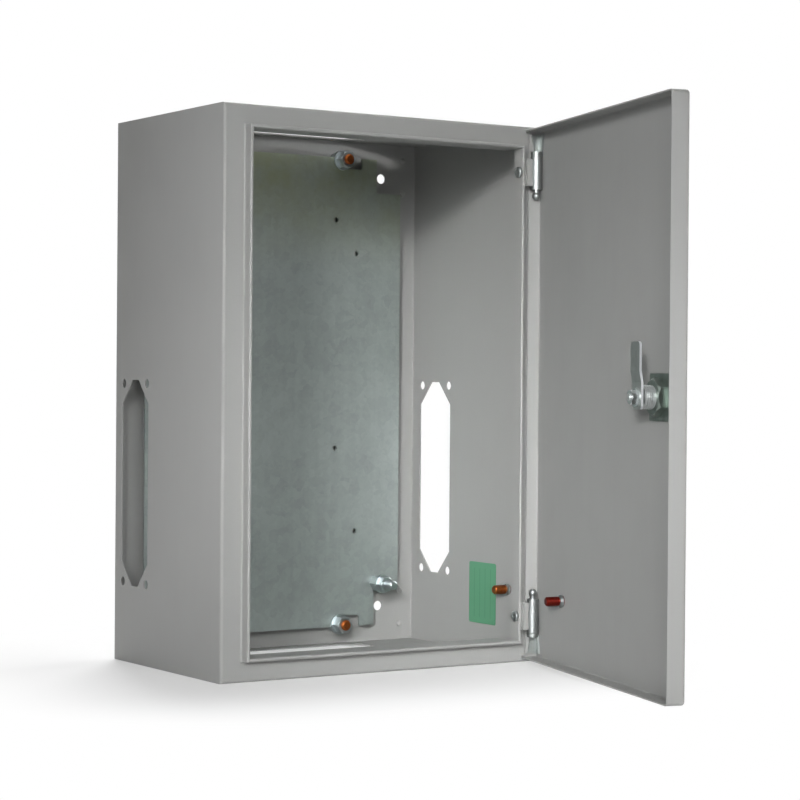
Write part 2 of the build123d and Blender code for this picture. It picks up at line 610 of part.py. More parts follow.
def lock_spindle():
    """Turning core: key socket in front, a square for the cam and a thread at the back."""
    front = DOOR_FRONT - LOCK_HEAD_HEIGHT
    nut_end = CAM_BACK + CAM_WASHER_THICKNESS + CAM_NUT_HEIGHT + SPINDLE_PROUD
    spindle = extrude(Circle(SPINDLE_FLANGE_RADIUS), SPINDLE_FLANGE_HEIGHT)
    spindle += extrude(Circle(SPINDLE_RADIUS), CAM_FRONT - front)
    spindle += extrude(Rectangle(SPINDLE_SQUARE, SPINDLE_SQUARE), CAM_BACK - front)
    spindle += extrude(Circle(SPINDLE_THREAD_RADIUS), nut_end - front)
    bit = Circle(KEY_PIN_RADIUS) + Rectangle(KEY_BIT_LENGTH, KEY_BIT_WIDTH)
    spindle -= extrude(Circle(KEY_RECESS_RADIUS) - bit, KEY_RECESS_DEPTH)
    return lock_place(front) * spindle


def lock_cam():
    """Locking tongue with a slight joggle, pointing up when unlocked."""
    middle = CAM_THICKNESS / 2
    path = Polyline(
        (middle, -CAM_HEEL),
        (middle, CAM_JOGGLE_START),
        (middle + CAM_JOGGLE, CAM_JOGGLE_END),
        (middle + CAM_JOGGLE, CAM_REACH),
    )
    strip = extrude(Plane.YZ * trace(path, CAM_THICKNESS), CAM_WIDTH / 2, both=True)
    outline = Pos(0, (CAM_REACH - CAM_HEEL) / 2) * RectangleRounded(
        CAM_WIDTH, CAM_REACH + CAM_HEEL, CAM_CORNER
    )
    outline -= Rectangle(SPINDLE_SQUARE + CAM_SQUARE_GAP, SPINDLE_SQUARE + CAM_SQUARE_GAP)
    strip &= extrude(back_to_front(0) * outline, CAM_WIDTH, both=True)
    return Pos(LOCK_X, CAM_FRONT, 0) * strip


def lock_turning_set():
    """Spindle, cam, washer and nut that turn together."""
    nut_seat = CAM_BACK + CAM_WASHER_THICKNESS
    bore = SPINDLE_THREAD_RADIUS + THREAD_GAP
    return {
        "lock_spindle": lock_spindle(),
        "lock_cam": lock_cam(),
        "cam_washer": lock_place(CAM_BACK) * washer(CAM_WASHER_RADIUS, CAM_WASHER_THICKNESS, bore),
        "cam_nut": lock_place(nut_seat) * nut(CAM_NUT_FLATS, CAM_NUT_HEIGHT, bore),
    }


def cabinet_pieces():
    """Every piece that stays with the wall."""
    pieces = {
        "body_wrap": body_wrap(),
        "top_panel": end_panel(1),
        "bottom_panel": end_panel(-1),
        "mounting_plate": mounting_plate(),
    }
    pieces.update(plate_fixings())
    pieces.update(earth_bolt_set())
    pieces["wall_earth_stud"] = wall_stud_place() * earth_stud()
    pieces["wall_stud_washer"] = wall_stud_place() * contact_washer()
    pieces["hinge_barrel_upper"] = hinge_barrel(1)
    pieces["hinge_barrel_lower"] = hinge_barrel(-1)
    pieces["hinge_screws"] = hinge_screws()
    return pieces


def door_pieces():
    """Every piece that swings with the door, in its shut place."""
    pieces = {"door_pan": door_pan()}
    pieces["hinge_arm_upper"] = hinge_arm(1)
    pieces["hinge_arm_lower"] = hinge_arm(-1)
    pieces["hinge_pin_upper"] = hinge_pin(1)
    pieces["hinge_pin_lower"] = hinge_pin(-1)
    pieces["door_earth_stud"] = door_stud_place() * earth_stud()
    pieces["door_stud_washer"] = door_stud_place() * contact_washer()
    pieces.update(lock_fixed_set())
    pieces.update(lock_turning_set())
    return pieces


def as_compound(shape):
    """One compound of all the solids of a shape or a list of shapes."""
    shapes = shape if isinstance(shape, list) else [shape]
    return Compound(children=[solid for item in shapes for solid in item.solids()])


def main():
    os.makedirs("parts", exist_ok=True)
    pieces = {name: as_compound(shape) for name, shape in cabinet_pieces().items()}
    for name, shape in door_pieces().items():
        pieces[name] = as_compound(shape).rotate(HINGE_AXIS, DOOR_OPEN_ANGLE)
    for name, shape in pieces.items():
        export_step(shape, os.path.join("parts", name + ".step"))


main()
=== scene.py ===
"""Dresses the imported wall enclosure: finishes, threads, weld spots, a label and a plain studio stage."""

import json
import math

import bmesh
import bpy
from bpy.props import FloatProperty, FloatVectorProperty, IntProperty, PointerProperty
from mathutils import Matrix, Vector


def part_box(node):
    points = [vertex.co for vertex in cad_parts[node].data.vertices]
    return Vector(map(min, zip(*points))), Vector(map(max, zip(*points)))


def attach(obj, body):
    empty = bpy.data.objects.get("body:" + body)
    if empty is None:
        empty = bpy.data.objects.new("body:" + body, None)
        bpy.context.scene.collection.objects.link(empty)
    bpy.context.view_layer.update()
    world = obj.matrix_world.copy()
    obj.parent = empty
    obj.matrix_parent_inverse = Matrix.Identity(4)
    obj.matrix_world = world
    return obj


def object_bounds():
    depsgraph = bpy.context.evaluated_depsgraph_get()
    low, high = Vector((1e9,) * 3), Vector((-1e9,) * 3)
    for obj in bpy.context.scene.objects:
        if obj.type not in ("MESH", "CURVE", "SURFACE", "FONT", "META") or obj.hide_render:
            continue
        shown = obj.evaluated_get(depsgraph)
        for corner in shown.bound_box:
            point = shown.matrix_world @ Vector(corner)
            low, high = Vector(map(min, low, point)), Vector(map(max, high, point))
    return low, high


bl_info = {
    "name": "Wall Enclosure Dresser",
    "version": (1, 0, 0),
    "blender": (4, 5, 0),
    "location": "View3D > Sidebar > Enclosure",
    "description": "Finishes, threads, weld spots, label and stage for a sheet-steel wall enclosure",
    "category": "Object",
}

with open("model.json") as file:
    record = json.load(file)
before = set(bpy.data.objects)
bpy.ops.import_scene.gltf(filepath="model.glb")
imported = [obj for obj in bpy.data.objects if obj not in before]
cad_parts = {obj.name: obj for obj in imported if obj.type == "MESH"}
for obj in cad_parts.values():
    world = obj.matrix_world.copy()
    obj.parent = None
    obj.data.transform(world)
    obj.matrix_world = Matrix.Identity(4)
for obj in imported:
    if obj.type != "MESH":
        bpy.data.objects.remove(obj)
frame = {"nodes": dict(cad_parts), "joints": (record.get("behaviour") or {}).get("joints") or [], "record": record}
CAD_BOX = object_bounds()

# Which node wears which finish
PAINTED = ("body_wrap", "top_panel", "bottom_panel", "door_pan")
GALVANISED = ("mounting_plate",)
PLAIN_ZINC = (
    "plate_spacers",
    "plate_washers",
    "plate_nuts",
    "earth_bolt",
    "earth_bolt_base_nut",
    "earth_bolt_washers",
    "earth_bolt_clamp_nut",
    "wall_stud_washer",
    "door_stud_washer",
)
HINGE_BARRELS = ("hinge_barrel_upper", "hinge_barrel_lower")
HINGE_SATIN = ("hinge_pin_upper", "hinge_pin_lower", "hinge_screws")
HINGE_DULL = ("hinge_arm_upper", "hinge_arm_lower")
COPPER = ("plate_studs", "wall_earth_stud")
RED_COPPER = ("door_earth_stud",)
LOCK_CAST = ("lock_housing", "lock_spindle")
LOCK_DARK = ("lock_backplate", "lock_nut")
LOCK_TONGUE = ("lock_cam",)
LOCK_BRIGHT = ("cam_washer", "cam_nut")

MM = 0.001

# Camera worked out from the object's edges: place, then yaw, pitch and roll in degrees
CAMERA_PLACE = (-1.317, -2.302, 0.014)
CAMERA_ANGLES = (33.05, -0.48, 0.45)
FOCAL_PIXELS = 2264.0
PIXELS_ACROSS = 800.0
SENSOR_WIDTH = 36.0

# Floor: half its size, its gap under the object, the share of white at the object's foot and the distance
# from it at which the floor is all white
FLOOR_REACH = 30.0
FLOOR_GAP = 0.4 * MM
FLOOR_WHITE_NEAR = 0.35
FLOOR_FADE_REACH = 0.28
WHITE = (1.0, 1.0, 1.0, 1.0)

# Soft lamps: bearing from the front, height angle, distance, width, height, angle of the beam, aim and power
LAMPS = (
    ("key_low", -45.0, 14.0, 2.6, 0.6, 0.6, 24.0, (0.1, -0.2, -0.3), 0.38),
    ("key_high", -45.0, 15.0, 2.6, 0.6, 0.6, 14.0, (0.18, -0.2, 0.05), 0.87),
    ("door_key", -45.0, 12.0, 2.6, 0.6, 0.6, 20.0, (0.28, -0.4, -0.35), 0.54),
    ("floor_key", -30.0, 24.0, 2.6, 0.5, 0.5, 12.0, (0.05, -0.15, -0.32), 0.26),
    ("wide_fill", -22.0, 17.0, 2.6, 0.7, 0.7, 180.0, (0.0, -0.2, 0.0), 13.0),
    ("back_fill", 156.0, 48.0, 2.6, 1.0, 1.0, 180.0, (0.0, -0.1, 0.0), 64.0),
    ("side_fill", 102.0, 20.0, 2.6, 1.0, 1.0, 180.0, (0.1, -0.3, 0.0), 40.0),
)

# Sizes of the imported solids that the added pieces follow
SHEET = 1.5 * MM
PLATE_STUD_RADIUS = 6.0 * MM
EARTH_STUD_RADIUS = 5.0 * MM
EARTH_STUD_FREE = 13.4 * MM
BARREL_RADIUS = 6.8 * MM
LOCK_SLEEVE_RADIUS = 11.5 * MM
LOCK_SLEEVE_START = 11.7 * MM
LOCK_SLEEVE_FREE = 11.4 * MM

# Levels between which the painted dark greenish reflection and shade near the mounting plate's top sets in
TOP_SHADE_FROM = 130.0 * MM
TOP_SHADE_TO = 270.0 * MM

# Largest share of the axis in the normal of a flat piece's edge
EDGE_LIMIT = 0.6

# Platings: colour setting, roughness, size of the grain, share of light kept where handled and strength of
# the bump
PLATINGS = {
    "bright_zinc": ("bright", 0.22, 0.7 * MM, 0.82, 0.025),
    "satin_zinc": ("satin", 0.3, 0.7 * MM, 0.86, 0.012),
    "barrel_zinc": ("satin", 0.32, 0.7 * MM, 0.86, 0.012),
    "plain_zinc": ("plain", 0.3, 0.7 * MM, 0.86, 0.02),
    "cast_zinc": ("cast", 0.24, 0.9 * MM, 0.7, 0.08),
    "dark_zinc": ("dark", 0.3, 0.8 * MM, 0.75, 0.05),
    "dull_zinc": ("dull", 0.38, 0.8 * MM, 0.85, 0.04),
    "tongue_zinc": ("tongue", 0.38, 0.8 * MM, 0.85, 0.04),
    "copper_flash": ("copper", 0.36, 0.8 * MM, 0.6, 0.06),
    "red_copper": ("red_copper", 0.36, 0.8 * MM, 0.6, 0.06),
}


class PaintSettings(bpy.types.PropertyGroup):
    """Powder coat on the folded sheets."""

    colour: FloatVectorProperty(
        name="Colour", description="Colour of the powder coat", subtype="COLOR", size=4,
        default=(0.335, 0.337, 0.328, 1.0),
    )
    shade: FloatVectorProperty(
        name="Shade", description="Colour where the coat is thin", subtype="COLOR", size=4,
        default=(0.312, 0.314, 0.305, 1.0),
    )
    roughness: FloatProperty(
        name="Roughness", description="Mean roughness of the coat", subtype="FACTOR",
        default=0.54, min=0.0, max=1.0,
    )
    grain: FloatProperty(
        name="Grain", description="Size of the coat's fine grain", unit="LENGTH", default=0.0009,
    )
    peel: FloatProperty(
        name="Peel", description="Size of the coat's slow ripple", unit="LENGTH", default=0.0042,
    )


class MetalSettings(bpy.types.PropertyGroup):
    """Zinc, copper and cast finishes."""

    galvanised: FloatVectorProperty(
        name="Galvanised", description="Colour of the mounting plate", subtype="COLOR", size=4,
        default=(0.365, 0.41, 0.395, 1.0),
    )
    # Colour of the painted dark greenish reflection and shade towards the plate's top
    top_shade_tint: FloatVectorProperty(
        name="Stain", description="Colour of the storage stain near the plate's top", subtype="COLOR", size=4,
        default=(0.3, 0.33, 0.22, 1.0),
    )
    spangle: FloatProperty(
        name="Spangle", description="Size of a zinc crystal on the plate", unit="LENGTH", default=0.011,
    )
    bright: FloatVectorProperty(
        name="Bright zinc", description="Colour of the lock's small nut and washer", subtype="COLOR", size=4,
        default=(0.6, 0.63, 0.63, 1.0),
    )
    plain: FloatVectorProperty(
        name="Plain zinc", description="Colour of plated fasteners", subtype="COLOR", size=4,
        default=(0.45, 0.49, 0.5, 1.0),
    )
    cast: FloatVectorProperty(
        name="Cast zinc", description="Colour of the lock's castings", subtype="COLOR", size=4,
        default=(0.32, 0.335, 0.34, 1.0),
    )
    dark: FloatVectorProperty(
        name="Dark zinc", description="Colour of the lock's plate and ring nut", subtype="COLOR", size=4,
        default=(0.22, 0.26, 0.235, 1.0),
    )
    dull: FloatVectorProperty(
        name="Dull zinc", description="Colour of the hinge arms", subtype="COLOR", size=4,
        default=(0.36, 0.385, 0.375, 1.0),
    )
    tongue: FloatVectorProperty(
        name="Tongue", description="Colour of the lock's tongue", subtype="COLOR", size=4,
        default=(0.4248, 0.4543, 0.4425, 1.0),
    )
    # Painted highlight: a pale colour on the lock tongue's edges
    edge_highlight: FloatVectorProperty(
        name="Rubbed edge", description="Colour of the tongue's bare edges", subtype="COLOR", size=4,
        default=(0.82, 0.84, 0.86, 1.0),
    )
    copper: FloatVectorProperty(
        name="Copper", description="Colour of the copper-flashed studs", subtype="COLOR", size=4,
        default=(0.36, 0.108, 0.029, 1.0),
    )
    red_copper: FloatVectorProperty(
        name="Red copper", description="Colour of the door's darker stud", subtype="COLOR", size=4,
        default=(0.19, 0.02, 0.013, 1.0),
    )
    satin: FloatVectorProperty(
        name="Satin zinc", description="Colour of hinge barrels, pins and screws", subtype="COLOR", size=4,
        default=(0.4, 0.42, 0.42, 1.0),
    )


class ThreadSettings(bpy.types.PropertyGroup):
    """Thread ridges on studs, the earth bolt and the lock sleeve."""

    coarse_pitch: FloatProperty(
        name="Coarse pitch", description="Pitch on the studs and the bolt", unit="LENGTH", default=0.0015,
    )
    fine_pitch: FloatProperty(
        name="Fine pitch", description="Pitch on the lock sleeve", unit="LENGTH", default=0.0024,
    )
    coarse_ridge: FloatProperty(
        name="Coarse ridge", description="Half height of a ridge on the studs and the bolt", unit="LENGTH",
        default=0.00028,
    )
    fine_ridge: FloatProperty(
        name="Fine ridge", description="Half height of a ridge on the lock sleeve", unit="LENGTH",
        default=0.00055,
    )
    steps: IntProperty(name="Steps", description="Points in one turn of the ridge", default=28, min=8)


class LabelSettings(bpy.types.PropertyGroup):
    """Ruled label without words on the right wall."""

    width: FloatProperty(
        name="Width", description="Label's size front to back", unit="LENGTH", default=0.0535,
    )
    height: FloatProperty(
        name="Height", description="Label's size up and down", unit="LENGTH", default=0.071,
    )
    thickness: FloatProperty(
        name="Thickness", description="Thickness of the foil", unit="LENGTH", default=0.00025,
    )
    corner: FloatProperty(
        name="Corner", description="Radius of the corners", unit="LENGTH", default=0.0012,
    )
    depth: FloatProperty(
        name="Depth", description="Middle of the label from the back", unit="LENGTH", default=0.15175,
    )
    level: FloatProperty(
        name="Level", description="Middle of the label from the origin", unit="LENGTH", default=-0.2315,
    )
    colour: FloatVectorProperty(
        name="Colour", description="Colour of the label", subtype="COLOR", size=4,
        default=(0.095, 0.29, 0.165, 1.0),
    )
    line: FloatVectorProperty(
        name="Line", description="Colour of the ruled lines", subtype="COLOR", size=4,
        default=(0.045, 0.17, 0.09, 1.0),
    )
    columns: IntProperty(name="Columns", description="Columns between the ruled lines", default=5, min=1)


class StageSettings(bpy.types.PropertyGroup):
    """Floor, lamps and camera."""

    floor: FloatVectorProperty(
        name="Floor", description="Colour of the floor", subtype="COLOR", size=4,
        default=(0.9, 0.9, 0.9, 1.0),
    )
    ambient: FloatProperty(name="Ambient", description="Strength of the surrounding light", default=0.09)
    light: FloatProperty(
        name="Light", description="Share of every lamp's power", subtype="FACTOR", default=1.0, min=0.0,
    )


def node(tree, kind, feeds=None, **settings):
    """Adds a node, sets its options and feeds its inputs with values or with other nodes' outputs."""
    made = tree.nodes.new(kind)
    for key, value in settings.items():
        setattr(made, key, value)
    for key, value in (feeds or {}).items():
        if isinstance(value, bpy.types.NodeSocket):
            tree.links.new(value, made.inputs[key])
        else:
            made.inputs[key].default_value = value
    return made


def maths(tree, operation, first, second=0.0, clamp=False):
    """One step of arithmetic, as an output socket."""
    step = node(tree, "ShaderNodeMath", {0: first, 1: second}, operation=operation, use_clamp=clamp)
    return step.outputs[0]


def weighted(tree, first, first_share, second, second_share):
    """The weighted sum of two values, as an output socket."""
    first_part = maths(tree, "MULTIPLY", first, first_share)
    second_part = maths(tree, "MULTIPLY", second, second_share)
    return maths(tree, "ADD", first_part, second_part)


def noise(tree, place, scale, detail, roughness=0.5):
    """A cloud of noise, as a node with a value and a colour."""
    feeds = {"Vector": place, "Scale": scale, "Detail": detail, "Roughness": roughness}
    return node(tree, "ShaderNodeTexNoise", feeds)


def remap(tree, value, source, target=(0.0, 1.0), kind="LINEAR"):
    """Maps a value from one range onto another, as an output socket."""
    feeds = {0: value, 1: source[0], 2: source[1], 3: target[0], 4: target[1]}
    return node(tree, "ShaderNodeMapRange", feeds, interpolation_type=kind).outputs[0]


def new_group(name, kind, inputs, outputs):
    """A node group with named sockets and its two end nodes."""
    group = bpy.data.node_groups.new(name, kind)
    for label, socket_type in inputs:
        group.interface.new_socket(name=label, in_out="INPUT", socket_type=socket_type)
    for label, socket_type in outputs:
        group.interface.new_socket(name=label, in_out="OUTPUT", socket_type=socket_type)
    start = group.nodes.new("NodeGroupInput")
    end = group.nodes.new("NodeGroupOutput")
    return group, start, end


def coat_grain_group():
    """Fine grain and slow ripple of a powder coat, with a faint cloudiness in its tone."""
    group, start, end = new_group(
        "coat_grain",
        "ShaderNodeTree",
        [("Vector", "NodeSocketVector"), ("Grain", "NodeSocketFloat"), ("Peel", "NodeSocketFloat")],
        [("Height", "NodeSocketFloat"), ("Tone", "NodeSocketFloat")],
    )
    grain_scale = maths(group, "DIVIDE", 1.0, start.outputs["Grain"])
    peel_scale = maths(group, "DIVIDE", 1.0, start.outputs["Peel"])
    vector = start.outputs["Vector"]
    grain = noise(group, vector, grain_scale, detail=2.0)
    peel = noise(group, vector, peel_scale, detail=1.0)
    cloud = noise(group, vector, scale=7.0, detail=5.0, roughness=0.6)
    height = weighted(group, grain.outputs[0], 0.45, peel.outputs[0], 0.55)
    tone = weighted(group, grain.outputs[0], 0.35, cloud.outputs[0], 0.65)
    group.links.new(height, end.inputs["Height"])
    group.links.new(tone, end.inputs["Tone"])
    return group


def handling_group():
    """Soft smudges and fine rub marks, from 0 for clean to 1 for handled."""
    group, start, end = new_group(
        "handling_marks",
        "ShaderNodeTree",
        [("Vector", "NodeSocketVector"), ("Scale", "NodeSocketFloat"), ("Stretch", "NodeSocketVector")],
        [("Mask", "NodeSocketFloat")],
    )
    vector = start.outputs["Vector"]
    factors = {0: vector, 1: start.outputs["Stretch"]}
    stretched = node(group, "ShaderNodeVectorMath", factors, operation="MULTIPLY")
    smudge = noise(group, vector, start.outputs["Scale"], detail=4.0, roughness=0.55)
    rub = noise(group, stretched.outputs[0], scale=90.0, detail=3.0)
    soft = remap(group, smudge.outputs[0], (0.4, 0.7), kind="SMOOTHSTEP")
    thin = remap(group, rub.outputs[0], (0.45, 0.75))
    group.links.new(weighted(group, soft, 0.7, thin, 0.3), end.inputs["Mask"])
    return group


def spangle_group():
    """Crystals of hot-dip zinc: a tone that steps from crystal to crystal and a height inside each."""
    group, start, end = new_group(
        "zinc_spangle",
        "ShaderNodeTree",
        [("Vector", "NodeSocketVector"), ("Cell", "NodeSocketFloat")],
        [("Tone", "NodeSocketFloat"), ("Height", "NodeSocketFloat")],
    )
    scale = maths(group, "DIVIDE", 1.0, start.outputs["Cell"])
    vector = start.outputs["Vector"]
    warp = noise(group, vector, scale=140.0, detail=2.0)
    shift = node(
        group, "ShaderNodeVectorMath", {0: warp.outputs["Color"], "Scale": 0.006}, operation="SCALE"
    )
    bent = node(group, "ShaderNodeVectorMath", {0: vector, 1: shift.outputs[0]}, operation="ADD")
    cells = node(group, "ShaderNodeTexVoronoi", {"Vector": bent.outputs[0], "Scale": scale})
    small_scale = maths(group, "MULTIPLY", scale, 2.7)
    small = node(group, "ShaderNodeTexVoronoi", {"Vector": bent.outputs[0], "Scale": small_scale})
    large_tone = node(group, "ShaderNodeSeparateColor", {0: cells.outputs["Color"]})
    small_tone = node(group, "ShaderNodeSeparateColor", {0: small.outputs["Color"]})
    tone = weighted(group, large_tone.outputs[0], 0.6, small_tone.outputs[0], 0.4)
    group.links.new(tone, end.inputs["Tone"])
    group.links.new(small.outputs["Distance"], end.inputs["Height"])
    return group


GROUP_MAKERS = {
    "coat_grain": coat_grain_group,
    "handling_marks": handling_group,
    "zinc_spangle": spangle_group,
}


def group_node(tree, name, feeds):
    """Places a shared effect in a material, making it the first time it is asked for."""
    group = bpy.data.node_groups.get(name) or GROUP_MAKERS[name]()
    return node(tree, "ShaderNodeGroup", feeds, node_tree=group)


def start_material(name):
    """An empty node material with its shader and the piece's own coordinates."""
    material = bpy.data.materials.new(name)
    material.use_nodes = True
    tree = material.node_tree
    shader = tree.nodes["Principled BSDF"]
    place = node(tree, "ShaderNodeTexCoord").outputs["Object"]
    return material, tree, shader, place


def blend_colours(tree, factor, first, second):
    """A colour between two colours, as an output socket."""
    return node(tree, "ShaderNodeMix", {0: factor, 6: first, 7: second}, data_type="RGBA").outputs[2]


def spread(tree, value, low, high):
    """Maps a value from 0 to 1 onto a range, as an output socket."""
    return remap(tree, value, (0.0, 1.0), (low, high))


def add_bump(tree, shader, height, strength, distance):
    """Feeds a height into the shader's normal."""
    bump = node(tree, "ShaderNodeBump", {"Height": height, "Strength": strength, "Distance": distance})
    tree.links.new(bump.outputs[0], shader.inputs["Normal"])


def shaded(colour, share):
    """A colour with its light scaled by a share."""
    return tuple(part * share for part in colour[:3]) + (1.0,)


def powder_coat(settings):
    """Grey powder coat with a fine grain, a slow ripple and faint handling marks."""
    material, tree, shader, place = start_material("grey_powder_coat")
    grain = group_node(tree, "coat_grain", {"Vector": place, "Grain": settings.grain, "Peel": settings.peel})
    marks = group_node(
        tree, "handling_marks", {"Vector": place, "Scale": 11.0, "Stretch": (1.0, 1.0, 0.12)}
    )
    colour = blend_colours(tree, grain.outputs["Tone"], settings.shade, settings.colour)
    tree.links.new(colour, shader.inputs["Base Color"])
    rough = spread(tree, marks.outputs["Mask"], settings.roughness - 0.05, settings.roughness + 0.07)
    tree.links.new(rough, shader.inputs["Roughness"])
    shader.inputs["Specular IOR Level"].default_value = 0.35
    add_bump(tree, shader, grain.outputs["Height"], 0.16, 0.0004)
    return material


def galvanised_steel(settings):
    """Hot-dip zinc with crystals, rolling lines and a painted dark greenish reflection and shade near the top."""
    material, tree, shader, place = start_material("galvanised_plate")
    spangle = group_node(tree, "zinc_spangle", {"Vector": place, "Cell": settings.spangle})
    marks = group_node(
        tree, "handling_marks", {"Vector": place, "Scale": 6.0, "Stretch": (1.0, 1.0, 0.06)}
    )
    tone = weighted(tree, spangle.outputs["Tone"], 0.45, marks.outputs["Mask"], 0.55)
    zinc = blend_colours(tree, tone, shaded(settings.galvanised, 0.84), shaded(settings.galvanised, 1.12))
    # Painted dark greenish reflection and shade: in cloudy patches, the zinc turns olive and darker towards the
    # plate's top
    patches = noise(tree, place, scale=14.0, detail=5.0, roughness=0.65)
    level = node(tree, "ShaderNodeSeparateXYZ", {0: place}).outputs[2]
    near_top = remap(tree, level, (TOP_SHADE_FROM, TOP_SHADE_TO), kind="SMOOTHSTEP")
    cloudy = remap(tree, patches.outputs[0], (0.3, 0.65), (0.15, 1.0))
    top_shade_share = maths(tree, "MULTIPLY", near_top, cloudy)
    tree.links.new(blend_colours(tree, top_shade_share, zinc, settings.top_shade_tint), shader.inputs["Base Color"])
    tree.links.new(spread(tree, tone, 0.56, 0.4), shader.inputs["Roughness"])
    shader.inputs["Metallic"].default_value = 0.7
    add_bump(tree, shader, spangle.outputs["Height"], 0.05, 0.0006)
    return material


def edge_mask(tree, axis):
    """1 on the edges of a flat piece and 0 on its two sides, which the axis crosses squarely."""
    facing = node(tree, "ShaderNodeTexCoord").outputs["Normal"]
    along = node(tree, "ShaderNodeVectorMath", {0: facing, 1: axis}, operation="DOT_PRODUCT").outputs["Value"]
    return maths(tree, "LESS_THAN", maths(tree, "ABSOLUTE", along), EDGE_LIMIT)


def off_axis_mask(tree, axis_place, radius):
    """1 further than a radius from an upright axis and 0 nearer to it."""
    place = node(tree, "ShaderNodeTexCoord").outputs["Object"]
    from_axis = node(tree, "ShaderNodeVectorMath", {0: place, 1: axis_place}, operation="SUBTRACT")
    flat = {0: from_axis.outputs[0], 1: (1.0, 1.0, 0.0)}
    level = node(tree, "ShaderNodeVectorMath", flat, operation="MULTIPLY")
    distance = node(tree, "ShaderNodeVectorMath", {0: level.outputs[0]}, operation="LENGTH")
    return maths(tree, "GREATER_THAN", distance.outputs["Value"], radius)


def plated_metal(name, colour, roughness, grain, darken, bump, patch=None):
    """Plated or cast metal with fine pits and worn, uneven gloss.

    A patch is a maker of a mask, the maker's values, and the colour and the metallic share inside the mask.
    """
    material, tree, shader, place = start_material(name)
    pits = group_node(tree, "coat_grain", {"Vector": place, "Grain": grain, "Peel": grain * 5.0})
    marks = group_node(
        tree, "handling_marks", {"Vector": place, "Scale": 70.0, "Stretch": (1.0, 1.0, 1.0)}
    )
    tint = blend_colours(tree, marks.outputs["Mask"], colour, shaded(colour, darken))
    shader.inputs["Metallic"].default_value = 1.0
    if patch:
        mask_maker, values, other, metallic = patch
        mask = mask_maker(tree, *values)
        tint = blend_colours(tree, mask, tint, other)
        tree.links.new(spread(tree, mask, 1.0, metallic), shader.inputs["Metallic"])
    tree.links.new(tint, shader.inputs["Base Color"])
    rough = spread(tree, marks.outputs["Mask"], roughness, roughness + 0.14)
    tree.links.new(rough, shader.inputs["Roughness"])
    add_bump(tree, shader, pits.outputs["Height"], bump, 0.0002)
    return material


def label_foil(settings):
    """Satin foil with a faint fibre and plain ruled lines."""
    material, tree, shader, place = start_material("green_label")
    fibre = group_node(tree, "coat_grain", {"Vector": place, "Grain": 0.0006, "Peel": 0.003})
    ground = blend_colours(tree, fibre.outputs["Tone"], shaded(settings.colour, 0.9), settings.colour)
    parts = node(tree, "ShaderNodeSeparateXYZ", {0: place}).outputs
    across = maths(tree, "DIVIDE", maths(tree, "ADD", parts[1], settings.depth), settings.width)
    column = maths(tree, "FRACT", maths(tree, "MULTIPLY", across, settings.columns))
    off_line = maths(tree, "ABSOLUTE", maths(tree, "SUBTRACT", column, 0.5))
    up = maths(tree, "DIVIDE", maths(tree, "SUBTRACT", parts[2], settings.level), settings.height)
    inside = maths(tree, "LESS_THAN", maths(tree, "ABSOLUTE", up), 0.4)
    ruled = remap(tree, off_line, (0.04, 0.09), (0.45, 0.0))
    colour = blend_colours(tree, maths(tree, "MULTIPLY", ruled, inside), ground, settings.line)
    tree.links.new(colour, shader.inputs["Base Color"])
    tree.links.new(spread(tree, fibre.outputs["Tone"], 0.42, 0.55), shader.inputs["Roughness"])
    add_bump(tree, shader, fibre.outputs["Height"], 0.1, 0.0003)
    return material


def finish(name, maker, *values):
    """The finish of that name, made the first time it is asked for."""
    return bpy.data.materials.get(name) or maker(*values)


def plating(name, patch=None):
    """The plating of that name, with another finish on a patch of it where one is given."""
    setting, *look = PLATINGS[name]
    colour = getattr(bpy.context.scene.enclosure_metal, setting)
    return finish(name, plated_metal, name, colour, *look, patch)


def wear(names, material):
    """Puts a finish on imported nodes."""
    for name in names:
        slots = frame["nodes"][name].data.materials
        slots.clear()
        slots.append(material)


def mount(name):
    """Place and direction of one of the record's mounts."""
    found = next(m for m in frame["record"]["mounts"] if m["name"] == name)
    return Vector(found["pos_m"]), Vector(found["axis"]).normalized()


def joint_named(name):
    """One of the record's joints."""
    return next(j for j in frame["joints"] if j["name"] == name)


def modifier_input(modifier, label, value):
    """Sets a geometry tree's input by its socket's identifier."""
    items = modifier.node_group.interface.items_tree
    socket = next(i for i in items if i.name == label and i.in_out == "INPUT")
    modifier[socket.identifier] = value


def thread_tree():
    """Helical ridges of the given size at each point of a mesh."""
    tree, start, end = new_group(
        "thread_ridges",
        "GeometryNodeTree",
        [
            ("Places", "NodeSocketGeometry"),
            ("Radius", "NodeSocketFloat"),
            ("Length", "NodeSocketFloat"),
            ("Pitch", "NodeSocketFloat"),
            ("Ridge", "NodeSocketFloat"),
            ("Steps", "NodeSocketInt"),
            ("Turn", "NodeSocketVector"),
            ("Finish", "NodeSocketMaterial"),
        ],
        [("Threads", "NodeSocketGeometry")],
    )
    get = start.outputs
    turns = maths(tree, "DIVIDE", get["Length"], get["Pitch"])
    helix = node(
        tree,
        "GeometryNodeCurveSpiral",
        {
            "Resolution": get["Steps"],
            "Rotations": turns,
            "Start Radius": get["Radius"],
            "End Radius": get["Radius"],
            "Height": get["Length"],
        },
    )
    upright = node(tree, "GeometryNodeSetCurveNormal", {"Curve": helix.outputs[0]}, mode="Z_UP")
    section = node(tree, "GeometryNodeCurvePrimitiveCircle", {"Resolution": 4, "Radius": get["Ridge"]})
    ridge = node(
        tree,
        "GeometryNodeCurveToMesh",
        {"Curve": upright.outputs[0], "Profile Curve": section.outputs[0], "Fill Caps": True},
    )
    turn = node(tree, "FunctionNodeEulerToRotation", {0: get["Turn"]})
    copies = node(
        tree,
        "GeometryNodeInstanceOnPoints",
        {"Points": get["Places"], "Instance": ridge.outputs[0], "Rotation": turn.outputs[0]},
    )
    real = node(tree, "GeometryNodeRealizeInstances", {0: copies.outputs[0]})
    painted = node(tree, "GeometryNodeSetMaterial", {0: real.outputs[0], "Material": get["Finish"]})
    tree.links.new(painted.outputs[0], end.inputs[0])
    return tree


